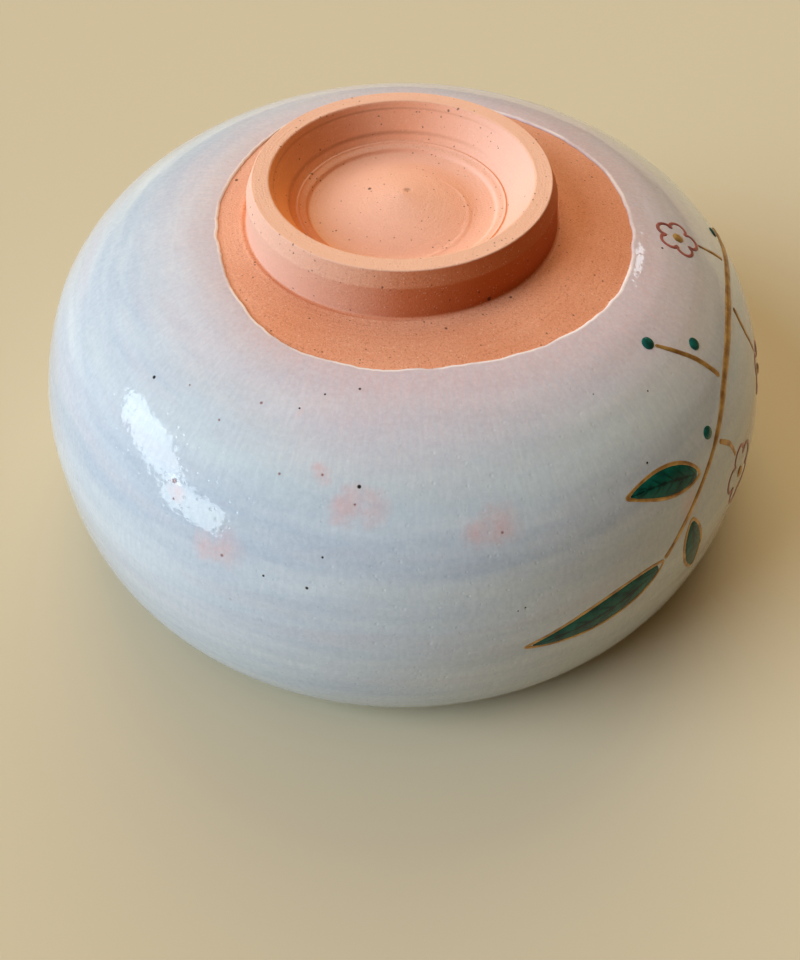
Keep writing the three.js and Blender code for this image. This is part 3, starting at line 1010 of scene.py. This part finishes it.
clay = clayMaterial()
glaze = glazeMaterial()
gold = enamelMaterial("goldEnamel", (0.56, 0.32, 0.09), (0.27, 0.12, 0.028), 0.3, Metallic=0.45)
green = enamelMaterial("greenEnamel", (0.006, 0.10, 0.072), (0.002, 0.03, 0.024), 0.1,
                       Specular_IOR_Level=0.35)
leafGlass = enamelMaterial("leafEnamel", (0.004, 0.115, 0.078), (0.002, 0.045, 0.034), 0.16,
                           veins=(0.001, 0.01, 0.009), Specular_IOR_Level=0.12)
red = enamelMaterial("redEnamel", (0.36, 0.10, 0.075), (0.20, 0.05, 0.04), 0.28)
print("materials mixed")


# Clay and glaze

# Ways along several stretches, each with its end and its spacing
def wayRuns(start, *stretches):
    ways = []
    for end, spacing in stretches:
        count = max(1, round((end - start) / spacing))
        ways += [start + (end - start) * i / count for i in range(count)]
        start = end
    return ways


clayBody = {
    "turnSteps": 300,
    "hiddenSpacing": 2.5,
    "lipSpacing": 0.5,
    "shownSpacing": 0.35,
    "shownRadius": 43,
    "cornerRadius": 29.2,  # from here inwards every point of the outline has a station
    "ringHeight": 0.018,
    "ringSpacing": 2.2,
    "ringSeed": 2.0,
    "burrHeight": 0.1,
}

glazeCoat = {
    "turnSteps": 320,
    "insideSpacing": 2.0,
    "lipSpacing": 0.45,
    "outsideSpacing": 0.8,
    "thinSpacing": 0.5,
    "brink": 1,  # mm from the edge
    "brinkSpacing": 0.16,
    "roundShares": (1, 0.75, 0.5, 0.3, 0.15, 0.05),
    "sunk": 0.05,  # under face, into the clay
    "sunkSpacings": (4, 0.6, 3),
    "sunkEnds": (0.5, 0.3),  # mm from the edge
    "edgeThickness": 0.38,
    "thinning": 7.0,  # mm from the edge
    "edgeRound": 0.35,
    "ringHeight": 0.14,
    "ringSpacing": 8.5,
    "reliefStart": 6,  # the rings fade in over this way, and out again before the edge
    "reliefEnd": 4,
}


def chain(name, stations):
    points = [(way * mm, lift * mm, relief) for way, lift, relief in stations]
    return flatMesh(name, points, [(i, i + 1) for i in range(len(points) - 1)])


def makeClayBody():
    s = clayBody
    bareWay, cornerWay = wayAtRadius(s["shownRadius"]), wayAtRadius(s["cornerRadius"])
    ways = wayRuns(startWay, (lipInnerWay, s["hiddenSpacing"]), (lipOuterWay, s["lipSpacing"]),
                   (bareWay, s["hiddenSpacing"]))
    corners = [way for way in outlineWays if way > cornerWay]
    ways += sorted(wayRuns(bareWay, (endWay, s["shownSpacing"])) + corners[:-1])
    stations = [(way, 0.0, float(way > bareWay)) for way in ways] + [(endWay, 0.0, 0.0)]
    addPiece(chain("clayBody", stations), turnedTree, {
        "Turn Steps": s["turnSteps"], "Ring Height": s["ringHeight"] * mm,
        "Ring Spacing": s["ringSpacing"] * mm, "Ring Seed": s["ringSeed"],
        "Burr Height": s["burrHeight"] * mm, "Material": clay}, "clay_body")


# Thickness of the glaze at a distance from its edge
def glazeLift(distance):
    s = glazeCoat
    thinned = min(distance / s["thinning"], 1)
    full = s["edgeThickness"] + (clayShape["cover"] - s["edgeThickness"]) * thinned * (2 - thinned)
    rounded = min(distance / s["edgeRound"], 1)
    return full * sqrt(1 - (1 - rounded) ** 2)


def makeGlazeCoat():
    s = glazeCoat
    over = wayRuns(startWay, (lipInnerWay, s["insideSpacing"]), (lipOuterWay, s["lipSpacing"]),
                   (edgeWay - s["thinning"], s["outsideSpacing"]), (edgeWay - s["brink"], s["thinSpacing"]),
                   (edgeWay - s["edgeRound"], s["brinkSpacing"]))
    over += [edgeWay - s["edgeRound"] * share for share in s["roundShares"]]
    stations = []
    for way in over:
        relief = min(max(way / s["reliefStart"], 0), 1) * min((edgeWay - way) / s["reliefEnd"], 1)
        stations.append((way, glazeLift(edgeWay - way), relief))
    stations.append((edgeWay, 0.0, 0.0))
    beforeLast, last = (edgeWay - distance for distance in s["sunkEnds"])
    under = wayRuns(startWay, *zip((lipInnerWay, lipOuterWay, beforeLast), s["sunkSpacings"])) + [last]
    stations += [(way, -s["sunk"], 0.0) for way in reversed(under)]
    addPiece(chain("glazeCoat", stations), turnedTree, {
        "Turn Steps": s["turnSteps"], "Follow Edge": 1.0, "Ring Height": s["ringHeight"] * mm,
        "Ring Spacing": s["ringSpacing"] * mm, "Ridge Height": throwingRidge["height"] * mm,
        "Material": glaze}, "glaze_coat")


makeClayBody()
makeGlazeCoat()
print("clay and glaze turned")


# Places on the glaze: azimuth in degrees and way in millimetres, with half the width of the stroke there

def beside(spot, round_, up):
    radius = outlineAt(spot["way"]).x
    return {**spot, "azimuth": spot["azimuth"] + degrees(round_ / radius), "way": spot["way"] + up}


def heading(near, far):
    round_ = radians(far["azimuth"] - near["azimuth"]) * outlineAt(near["way"]).x
    return Vector((round_, far["way"] - near["way"])).normalized()


# Smooth line through a few stations
def smoothLine(stations, count):
    spots = []
    last = len(stations) - 1
    for i in range(count + 1):
        run = last * i / count
        index = min(int(run), last - 1)
        t = run - index
        before, near, far, after = (stations[min(max(index + k, 0), last)] for k in (-1, 0, 1, 2))
        spot = {"half": near["half"] + (far["half"] - near["half"]) * t}
        for key in ("azimuth", "way"):
            leave, arrive = (far[key] - before[key]) / 2, (after[key] - near[key]) / 2
            bend = (2 * (near[key] - far[key]) + leave + arrive) * t**3
            bend += (3 * (far[key] - near[key]) - 2 * leave - arrive) * t**2
            spot[key] = bend + leave * t + near[key]
        spots.append(spot)
    return spots


enamel = {
    "gap": 0.12,
    "stemHalf": 0.85,
    "stemTipHalf": 0.5,
    "stemSteps": 22,
    "twigHalf": 0.5,
    "twigTipHalf": 0.3,
    "twigSteps": 6,
    "leafLineHalf": 0.32,
    "leafStart": 0.03,  # of the green, as a share of the leaf's length
    "leafEnd": 0.97,
    "leafForwardness": 0.8,
    "leafFullness": 0.85,
    "leafRoot": 1.2,
    "leafLineSteps": 16,
    "petals": 5,
    "petalDip": 0.4,
    "petalFullness": 0.6,
    "blossomSteps": 60,
    "blossomLineHalf": 0.36,
    "centreRadius": 1.1,
    "budRadius": 1.15,
    "budStandOff": 0.9,
}
stemHalf, stemTipHalf = enamel["stemHalf"], enamel["stemTipHalf"]
stem = smoothLine([
    {"azimuth": 12, "way": 30, "half": stemHalf},
    {"azimuth": -8, "way": 36, "half": stemHalf},
    {"azimuth": -26, "way": 34, "half": stemHalf},
    {"azimuth": -41, "way": 25, "half": stemTipHalf},
    {"azimuth": -52, "way": 15, "half": stemTipHalf},
], enamel["stemSteps"])
lower, upper = 1, -1  # sides of the stem, as it runs from its thick end


def clearOf(spots, index, side, reach):
    run = heading(spots[index - 1], spots[index])
    off = side * (spots[index]["half"] + enamel["gap"] + reach)
    return beside(spots[index], -run.y * off, run.x * off)


def beyond(spots, reach):
    run = heading(spots[-2], spots[-1])
    return beside(spots[-1], run.x * reach, run.y * reach)


# Twig from a spot of the stem. Each step away from its start: round the bowl and up in mm, half width
def twig(index, side, away):
    start = {**clearOf(stem, index, side, enamel["twigHalf"]), "half": enamel["twigHalf"]}
    steps = [{**beside(start, *step), "half": half} for *step, half in away]
    return smoothLine([start] + steps, enamel["twigSteps"])


thick, thin = enamel["twigHalf"], enamel["twigTipHalf"]
budTwig = twig(12, upper, [(-2.5, 6, thick), (-7.5, 12.5, thin)])
upperTwig = twig(4, upper, [(-1.5, 7, thin)])
lowerTwig = twig(7, lower, [(-1.8, -5, thick), (-1.2, -10, thin)])
shortTwig = twig(15, lower, [(3, -3, thick), (4.6, -7, thin)])

# start, heading and bend in degrees, length and half of the greatest width
leaves = [
    (beyond(stem, enamel["leafLineHalf"] + enamel["gap"]), 200, -18, 27, 3.2),
    (clearOf(stem, 19, lower, enamel["leafRoot"]), 268, 24, 15, 2.4),
    (clearOf(stem, 17, upper, enamel["leafRoot"]), 150, 26, 17, 2.6),
]


def leafPlace(leaf, along, side):
    spot, start, bend, length, _ = leaf
    start, bend = radians(start), radians(bend)
    turn = start + bend * along
    round_ = length / bend * (sin(turn) - sin(start)) - side * sin(turn)
    up = length / bend * (cos(start) - cos(turn)) + side * cos(turn)
    return beside(spot, round_, up)


def leafHalf(leaf, along):
    return leaf[4] * max(sin(pi * along ** enamel["leafForwardness"]), 0) ** enamel["leafFullness"]


# Geometry group: the place at a height over the thrown glaze
def makeOnGlaze():
    tree, given, result = newTree(
        "onGlaze", "Geometry",
        {"Way": 0.0, "Azimuth": 0.0, "Height": 0.0, "Thickness": clayShape["cover"] * mm,
         "Ring Height": glazeCoat["ringHeight"] * mm, "Ring Spacing": glazeCoat["ringSpacing"] * mm,
         "Ridge Height": throwingRidge["height"] * mm},
        {"Position": "Vector", "Normal": "Vector"})
    thrown = same(given, "Way", "Azimuth", "Ring Height", "Ring Spacing", "Ridge Height")
    lift = chained("ADD", given["Thickness"], given["Height"], useGroup(thrownRelief, thrown)["Lift"])
    spot = useGroup(onBowl, {**same(given, "Way", "Azimuth"), "Lift": lift})
    for output in ("Position", "Normal"):
        setSocket(result[output], spot[output])
    return tree


onGlaze = makeOnGlaze()

stroke = {
    "step": 0.25,  # mm
    "body": 0.3,
    "unevenness": 0.14,
    "unevenScale": 260.0,
    "sides": 14,
    "blunt": 1.02,  # a little over 1, so that a tip never ends in a point
}


# Geometry tree: a brushed stroke along a chain of points that hold azimuth, way and half width
def makeStrokeTree():
    tree, given, result = newTree(
        "brushStroke", "Geometry",
        {"Geometry": "Geometry", "Step": stroke["step"] * mm, "Body": stroke["body"],
         "Unevenness": stroke["unevenness"], "Closed": False, "Material": "Material"},
        {"Geometry": "Geometry"})
    line = passed(given["Geometry"], "MeshToCurve")
    line = passed(line, "SetSplineCyclic", {"Cyclic": given["Closed"]})
    azimuth, way, half = parts(ownPlace(tree))
    line = keep(line, {"azimuth": azimuth, "way": way, "half": half})
    spot = useGroup(onGlaze, {"Azimuth": azimuth, "Way": way})
    line = passed(line, "SetPosition", same(spot, "Position"))
    line = passed(line, "CurveSplineType", spline_type="CATMULL_ROM")
    line = passed(line, "ResampleCurve", {"Length": given["Step"]}, mode="LENGTH")
    azimuth, way, half = (kept(tree, name) for name in ("azimuth", "way", "half"))
    spot = useGroup(onGlaze, {"Azimuth": azimuth, "Way": way})
    line = passed(line, "SetPosition", same(spot, "Position"))
    line = passed(line, "SetCurveNormal", same(spot, "Normal"), mode="FREE")
    run = place(tree, "GeometryNodeSplineParameter").outputs["Length"]
    total = place(tree, "GeometryNodeSplineLength").outputs["Length"]
    toEnd = calc("MINIMUM", run, calc("SUBTRACT", total, run))
    missing = calc("SUBTRACT", 1.0, calc("DIVIDE", toEnd, half, use_clamp=True))
    taper = calc("SQRT", calc("SUBTRACT", stroke["blunt"], product(missing, missing)))
    press = spread(noise(ownPlace(tree), stroke["unevenScale"]), *noiseMiddle, -1.0, 1.0)
    press = calc("ADD", product(press, given["Unevenness"]), 1.0)
    radius = product(half, largest(taper, given["Closed"]), press)
    ring = place(tree, "GeometryNodeCurvePrimitiveCircle", {"Resolution": stroke["sides"], "Radius": 1.0})
    ring = passed(ring.outputs["Curve"], "Transform", {"Scale": vector(given["Body"], 1.0, 1.0)})
    line = passed(line, "SetCurveRadius", {"Radius": radius})
    body = passed(line, "CurveToMesh", {"Profile Curve": ring, "Scale": radius, "Fill Caps": True})
    return finishTree(tree, body, given, result)


# Geometry tree: lay a flat mesh of azimuths, ways and heights on the glaze
def makeLaidTree():
    tree, given, result = newTree(
        "laidOnBowl", "Geometry", {"Geometry": "Geometry", "Material": "Material"}, {"Geometry": "Geometry"})
    azimuth, way, height = parts(ownPlace(tree))
    spot = useGroup(onGlaze, {"Azimuth": azimuth, "Way": way, "Height": height})
    body = passed(given["Geometry"], "SetPosition", same(spot, "Position"))
    return finishTree(tree, body, given, result)


drop = {"body": 0.3, "segments": 28, "rings": 16}


# Geometry tree: a drop of enamel on each point, which holds azimuth, way and radius
def makeDropTree():
    tree, given, result = newTree(
        "enamelDrop", "Geometry",
        {"Geometry": "Geometry", "Body": drop["body"], "Material": "Material"},
        {"Geometry": "Geometry"})
    azimuth, way, size = parts(ownPlace(tree))
    spot = useGroup(onGlaze, {"Azimuth": azimuth, "Way": way})
    points = keep(given["Geometry"], {"size": size})
    points = keep(points, {"outwards": spot["Normal"]}, "FLOAT_VECTOR")
    points = passed(points, "SetPosition", same(spot, "Position"))
    size, outwards = kept(tree, "size"), kept(tree, "outwards", "FLOAT_VECTOR")
    tilt = place(tree, "FunctionNodeAlignRotationToVector", {"Vector": outwards}, axis="Z").outputs[0]
    ball = place(tree, "GeometryNodeMeshUVSphere", {
        "Segments": drop["segments"], "Rings": drop["rings"], "Radius": 1.0}).outputs["Mesh"]
    drops = passed(points, "InstanceOnPoints", {
        "Instance": ball, "Rotation": tilt, "Scale": vector(size, size, product(size, given["Body"]))})
    return finishTree(tree, drops, given, result)


strokeTree = makeStrokeTree()
laidTree = makeLaidTree()
dropTree = makeDropTree()

leafGreen = {"steps": 40, "endSteps": 4, "lanes": 12, "dome": 0.28, "sunk": 0.1}


def makeStroke(name, spots, material, node, closed=False):
    points = [(radians(spot["azimuth"]), spot["way"] * mm, spot["half"] * mm) for spot in spots]
    edges = [(i, i + 1) for i in range(len(points) - 1)]
    if closed:
        edges.append((len(points) - 1, 0))
    addPiece(flatMesh(name, points, edges), strokeTree, {"Closed": closed, "Material": material}, node)


def makeDrop(name, spot, radius, material, node):
    point = (radians(spot["azimuth"]), spot["way"] * mm, radius * mm)
    addPiece(flatMesh(name, [point]), dropTree, {"Material": material}, node)


def makeLeafGreen(name, leaf, node):
    s = leafGreen
    spots = []
    for i in range(s["steps"] + 1):
        along = enamel["leafStart"] + (enamel["leafEnd"] - enamel["leafStart"]) * i / s["steps"]
        half = leafHalf(leaf, along)
        ends = min(i, s["steps"] - i) / s["endSteps"]
        for j in range(s["lanes"] + 1):
            across = 2 * j / s["lanes"] - 1
            dome = s["dome"] * sqrt(max(1 - across**2, 0)) * sqrt(min(ends, 1))
            spots.append((leafPlace(leaf, along, half * across), dome, (along, across)))
    points = []
    for domed in (True, False):
        for spot, dome, _ in spots:
            height = (dome if domed else 0) - s["sunk"]
            points.append((radians(spot["azimuth"]), spot["way"] * mm, height * mm))
    row = s["lanes"] + 1
    corners = [i * row + j for i in range(s["steps"]) for j in range(s["lanes"])]
    top = [(a, a + row, a + row + 1, a + 1) for a in corners]
    under = [tuple(len(spots) + k for k in reversed(face)) for face in top]
    piece = flatMesh(name, points, (), top + under)
    for k, attributeName in enumerate(("along", "across")):
        values = piece.data.attributes.new(attributeName, "FLOAT", "POINT")
        values.data.foreach_set("value", [share[k] for *_, share in spots] * 2)
    addPiece(piece, laidTree, {"Material": leafGlass}, node)


def leafOutline(leaf):
    steps = enamel["leafLineSteps"]
    spots = []
    for side in (-1, 1):
        for i in range(steps):
            along = i / steps if side < 0 else 1 - i / steps
            spot = leafPlace(leaf, along, side * leafHalf(leaf, along))
            spots.append({**spot, "half": enamel["leafLineHalf"]})
    return spots


def blossomOutline(spot, size, turned):
    spots = []
    for i in range(enamel["blossomSteps"]):
        turn = 2 * pi * i / enamel["blossomSteps"]
        lobe = abs(cos(turn * enamel["petals"] / 2)) ** enamel["petalFullness"]
        reach = size * (1 - enamel["petalDip"] * (1 - lobe))
        angle = turn + radians(turned)
        spots.append({**beside(spot, reach * cos(angle), reach * sin(angle)),
                      "half": enamel["blossomLineHalf"]})
    return spots


def blossomOn(twigSpots, size, turned):
    return beyond(twigSpots, size + enamel["blossomLineHalf"] + enamel["gap"]), size, turned


# each at the end of its twig: radius in mm, turn in degrees
blossoms = [blossomOn(shortTwig, 5.8, 20), blossomOn(lowerTwig, 5, -20), blossomOn(upperTwig, 4.2, 62)]
budReach = enamel["budRadius"] + enamel["budStandOff"]
buds = [
    beyond(budTwig, enamel["budRadius"] + enamel["gap"]),
    clearOf(budTwig, 3, upper, budReach),
    clearOf(stem, 15, upper, budReach),
    clearOf(stem, 2, upper, budReach),
]

makeStroke("stemStroke", stem, gold, "stem")
for name, spots in (("bud_twig", budTwig), ("upper_twig", upperTwig), ("lower_twig", lowerTwig),
                    ("short_twig", shortTwig)):
    makeStroke(name + "_stroke", spots, gold, name)
for i, leaf in enumerate(leaves, 1):
    makeLeafGreen(f"leafGreen_{i}", leaf, f"leaf_fill_{i}")
    makeStroke(f"leafOutline_{i}", leafOutline(leaf), gold, f"leaf_line_{i}", closed=True)
for i, (spot, size, turned) in enumerate(blossoms, 1):
    makeStroke(f"blossomOutline_{i}", blossomOutline(spot, size, turned), red,
               f"blossom_line_{i}", closed=True)
    makeDrop(f"blossomCentre_{i}", spot, enamel["centreRadius"], gold, f"blossom_centre_{i}")
for i, spot in enumerate(buds, 1):
    makeDrop(f"bud_{i}_drop", spot, enamel["budRadius"], green, f"bud_{i}")
bpy.data.objects.remove(outlineCurve)
print("spray painted")


# Floor and light

studio = {
    "floorColour": (0.57, 0.475, 0.315),
    "floorHalf": 40.0,
    "floorRoughness": 0.8,
    "floorShine": 0.1,
    "backdropColour": (0.607, 0.507, 0.327),
    "roomColour": (1.0, 0.70, 0.30),
    "roomStrength": 0.10,
    "windowColour": (0.80, 0.93, 1.0),
    "windowPower": 17.0,  # for each square metre of a square pane
    "windowDistance": 9.0,
    # shape, azimuth and height of the middle, width, height and tilt, in degrees
    "windowPanes": [
        ("ELLIPSE", 186.5, 21.0, 30, 15.5, -14), ("RECTANGLE", 209.4, 12.0, 18.0, 16.4, 3),
        ("ELLIPSE", 56.7, 34.8, 4.0, 6.5, 36),
    ],
    # name, azimuth, height above the floor and width in degrees, strength, colour
    "suns": [
        ("left", 193, 32, 40, 3.25, (0.58, 0.77, 1.0)),
        ("back", 90, 35, 50, 1.8, (1.0, 0.88, 0.59)),
        ("above", 120, 75, 50, 0.9, (1.0, 0.76, 0.59)),
    ],
}


def towards(azimuth, elevation):
    turn, rise = radians(azimuth), radians(elevation)
    return Vector((cos(turn) * cos(rise), sin(turn) * cos(rise), sin(rise)))


def makeLamp(name, kind, direction, colour, strength):
    data = bpy.data.lights.new(name, kind)
    data.energy = strength
    data.color = colour
    lamp = linked(name, data)
    lamp.rotation_mode = "QUATERNION"
    lamp.rotation_quaternion = direction.to_track_quat("Z", "Y")
    return lamp


def makeWindow():
    s = studio
    for i, (shape, azimuth, elevation, width, height, tilt) in enumerate(s["windowPanes"], 1):
        direction = towards(azimuth, elevation)
        wide, high = (2 * s["windowDistance"] * tan(radians(angle) / 2) for angle in (width, height))
        area = wide * high * (pi / 4 if shape == "ELLIPSE" else 1)
        pane = makeLamp(f"window_{i}", "AREA", direction, s["windowColour"], s["windowPower"] * area)
        pane.data.shape = shape
        pane.data.size, pane.data.size_y = wide, high
        pane.rotation_quaternion @= Quaternion((0, 0, 1), radians(tilt))
        pane.visible_camera = False
        pane.location = direction * s["windowDistance"] + Vector((0, 0, bowlTop / 2 * mm))


def makeSuns():
    for name, azimuth, elevation, width, strength, colour in studio["suns"]:
        sun = makeLamp(name, "SUN", towards(azimuth, elevation), colour, strength)
        sun.data.angle = radians(width)
        sun.visible_glossy = False


def makeRoom():
    s = studio
    world = bpy.data.worlds.new("room")
    world.use_nodes = True
    tree = world.node_tree
    room = tree.nodes["Background"]
    setSocket(room.inputs["Color"], s["roomColour"])
    setSocket(room.inputs["Strength"], s["roomStrength"])
    backdrop = place(tree, "ShaderNodeBackground", {"Color": s["backdropColour"]})
    seen = place(tree, "ShaderNodeLightPath").outputs["Is Camera Ray"]
    both = place(tree, "ShaderNodeMixShader", {0: seen, 1: room.outputs[0], 2: backdrop.outputs[0]})
    tree.links.new(both.outputs[0], tree.nodes["World Output"].inputs["Surface"])
    bpy.context.scene.world = world


def makeFloor():
    s = studio
    half = s["floorHalf"]
    corners = [(-half, -half, 0), (half, -half, 0), (half, half, 0), (-half, half, 0)]
    floor = flatMesh("floor", corners, (), [(0, 1, 2, 3)])
    material, _, _ = newMaterial("paleFloor", Base_Color=s["floorColour"], Roughness=s["floorRoughness"],
                                 Specular_IOR_Level=s["floorShine"])
    floor.data.materials.append(material)


makeFloor()
makeRoom()
makeWindow()
makeSuns()
bpy.context.scene.view_settings.view_transform = "Standard"
print("studio lit")
